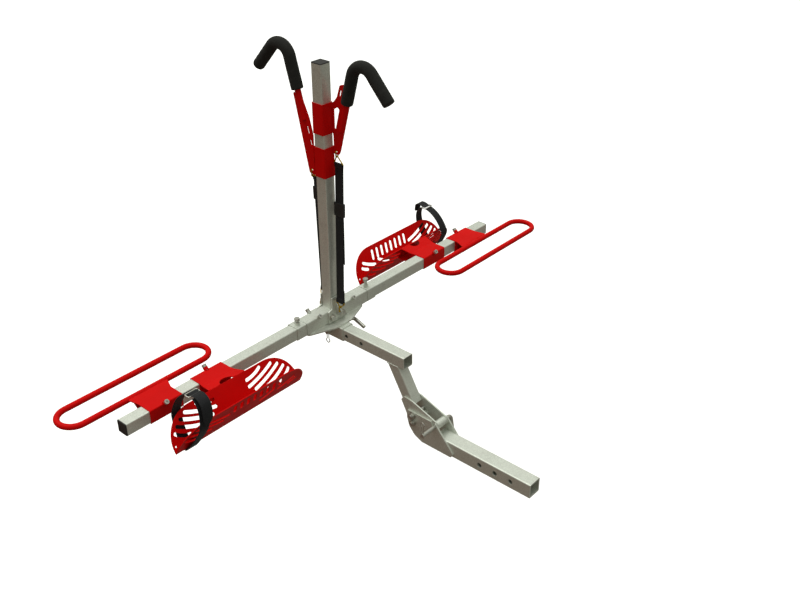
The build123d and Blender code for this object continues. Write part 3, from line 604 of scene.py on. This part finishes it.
def wheel_strap(side):
    """Strap round the tray, with its free tail past the buckle."""
    half_y, rise, drop, lean = STRAP_OVAL[side]
    mid_x, mid_y, mid_z = STRAP_MIDDLE
    grow = 1.25    # half the strap's thickness

    def at(y, z):
        slant = STRAP_SLANT[side] * (mid_z + rise - STRAP_LEVEL - z)
        return place(side, mid_x + STRAP_SKEW[side] * (y - mid_y) + slant, y, z)

    def oval(turn):
        height = math.sin(turn)
        up = height * ((rise if height > 0 else drop) + grow)
        waist = STRAP_WAIST_NEAR if math.cos(turn) > 0 else STRAP_WAIST_FAR
        across = math.cos(turn) * (half_y + grow) * (1 + waist * min(height, 0))
        return mid_y + across + lean * max(up, 0), mid_z + up

    # from the buckle backwards down the mast side, round and up again
    loop = [oval(math.radians(93 + turn)) for turn in range(0, 345, 6)]
    points = smooth_path([at(y, z) for y, z in loop], 0.004)
    across = [Vector((1, 0, 0))] * len(points)
    piece = ribbon("wheel_strap_loop_" + side, points, across, WEB_WIDTH, 0.0025)
    dress(piece, "black_webbing", "tray_" + side, "wheel_strap_" + side)
    # over the buckle and down to the free end
    top_y, top_z = oval(math.pi / 2)
    tail = [(top_y - 3, top_z + 5.2), (top_y + 6, top_z + 3.4)]
    tail += [(top_y + dy, top_z + 1.2 + dz) for dy, dz in STRAP_TAIL[side]]
    points = smooth_path([at(y, z) for y, z in tail], 0.003)
    across = [Vector((1, 0, 0))] * len(points)
    piece = ribbon("wheel_strap_tail_" + side, points, across, WEB_WIDTH, 0.0023, STRAP_POINT[side])
    dress(piece, "black_webbing", "tray_" + side)


# ---- weld beads -------------------------------------------------------------------------------------
def beads(name, slot, body, lines, radius):
    """Weld beads: rippled round strips laid along each line, joined into one piece."""
    verts, faces = [], []
    around = 8
    for number, line in enumerate(lines):
        points = resample([Vector(p) for p in line], 0.0011)
        directions = tangents(points)
        base = len(verts)
        for index, point in enumerate(points):
            along = directions[index]
            side = along.orthogonal().normalized()
            other = along.cross(side)
            end = min(index, len(points) - 1 - index)
            uneven = noise.noise(Vector((index * 0.21, number * 3.1, 0)))
            r = radius * min(1.0, 0.35 + 0.3 * end)
            r *= 1.0 + 0.13 * math.sin(index * 1.7) + 0.25 * uneven
            for step in range(around):
                angle = 2 * math.pi * step / around
                verts.append(point + (side * math.cos(angle) + other * math.sin(angle)) * r)
        faces += [tuple(base + i for i in face) for face in grid_faces(len(points), around, True)]
        faces.append(tuple(base + i for i in range(around))[::-1])
        faces.append(tuple(base + (len(points) - 1) * around + i for i in range(around)))
    piece = new_mesh(name, verts, faces)
    return dress(piece, slot, body)


def hitch_welds():
    """Where the hinge plates meet the shank: along its bottom, and up the plates' front edge."""
    lines = []
    for edge in (-0.0258, 0.0258):
        lines.append([(edge, 0.166, -0.0248), (edge, 0.2295, -0.0248)])
        lines.append([(edge, 0.158, -0.010), (edge, 0.181, 0.0195), (edge, 0.186, 0.0249)])
    beads("welds_hitch", "silver_coat", "hitch", lines, 0.0017)


def frame_welds():
    """Round the riser's head, the mast's foot, the cradle and the gusset."""
    # the leaning riser tube (its foot's centre, lean and half width, mm) under the main arm
    foot_y, foot_z, lean, half = 311, 37, math.tan(math.radians(30)), 20.2
    arm_bottom = 206.75
    head_y = foot_y + lean * (arm_bottom - foot_z)
    lines = [[(x, head_y - 23, arm_bottom), (x, head_y + 23, arm_bottom)] for x in (-half, half)]
    lines.append([(-half, head_y - 23.1, arm_bottom), (half, head_y - 23.1, arm_bottom)])
    lines = [[tuple(c / 1000 for c in p) for p in line] for line in lines]
    # mast's foot, cradle under the gusset, gusset under the beam
    for y in (-20.2, 20.2):
        lines.append([place("right", -18, y, 6.5), place("right", 18, y, 6.5)])
    for x in (-20.2, 20.2):
        lines.append([place("right", x, -18, 6.5), place("right", x, 18, 6.5)])
    for x in (-24.2, 24.2):
        lines.append([place("right", x, -56, -43.4), place("right", x, 56, -43.4)])
    for y in (-22.4, 22.4):
        for x in (-1, 1):
            lines.append([place("right", x * 48, y, -38.1), place("right", x * 118, y, -38.1)])
    beads("welds_frame", "silver_coat", "rack_frame", lines, 0.0019)


# start and end of each stitch of weld: along Z on the hook plates, along X on the hoops and trays
HOOK_STITCHES = {
    "right": [(604, 620), (640, 660), (676, 689)],
    "left": [(470, 490), (505, 525), (540, 553)],
}
HOOP_STITCHES = [(612, 640), (662, 690), (712, 734)]
TRAY_STITCHES = [(440, 470), (533, 563)]
HOOP_WELD_YZ, TRAY_WELD_YZ = (-67.7, 5.6), (77.4, 13.2)


def side_welds(side):
    """Stitches of weld on one side's hook plate, hoop and tray."""
    lines = [[place(side, x, -22.6, z0), place(side, x, -22.6, z1)]
             for z0, z1 in HOOK_STITCHES[side] for x in (17.0, 22.0)]
    beads("welds_hook_" + side, "red_coat", "hook_" + side, lines, 0.0014)
    for kind, stitches, where, radius in (
        ("hoop_", HOOP_STITCHES, HOOP_WELD_YZ, 0.0016),
        ("tray_", TRAY_STITCHES, TRAY_WELD_YZ, 0.0014),
    ):
        lines = [[place(side, x0, *where), place(side, x1, *where)] for x0, x1 in stitches]
        beads("welds_" + kind + side, "red_coat", kind + side, lines, radius)


def soften(node, width):
    """Round a CAD node's sharp edges a little."""
    weld = NODES[node].modifiers.new("weld", "WELD")
    weld.merge_threshold = 1e-6
    bevel = NODES[node].modifiers.new("bevel", "BEVEL")
    bevel.width = width
    bevel.segments = 2
    bevel.limit_method = "ANGLE"
    bevel.angle_limit = math.radians(35)


camera()
floor()
lights()
paint_frame()
for half in ("right", "left"):
    foam_grip(half)
    hook_strap(half)
    wheel_strap(half)
    side_welds(half)
    soften("strap_keeper_" + half, 0.0012)
hitch_welds()
frame_welds()
for hardware in ("pivot_bolt", "tilt_stop_bolt", "collar_bolts", "bracket_bolts"):
    soften(hardware, 0.0007)
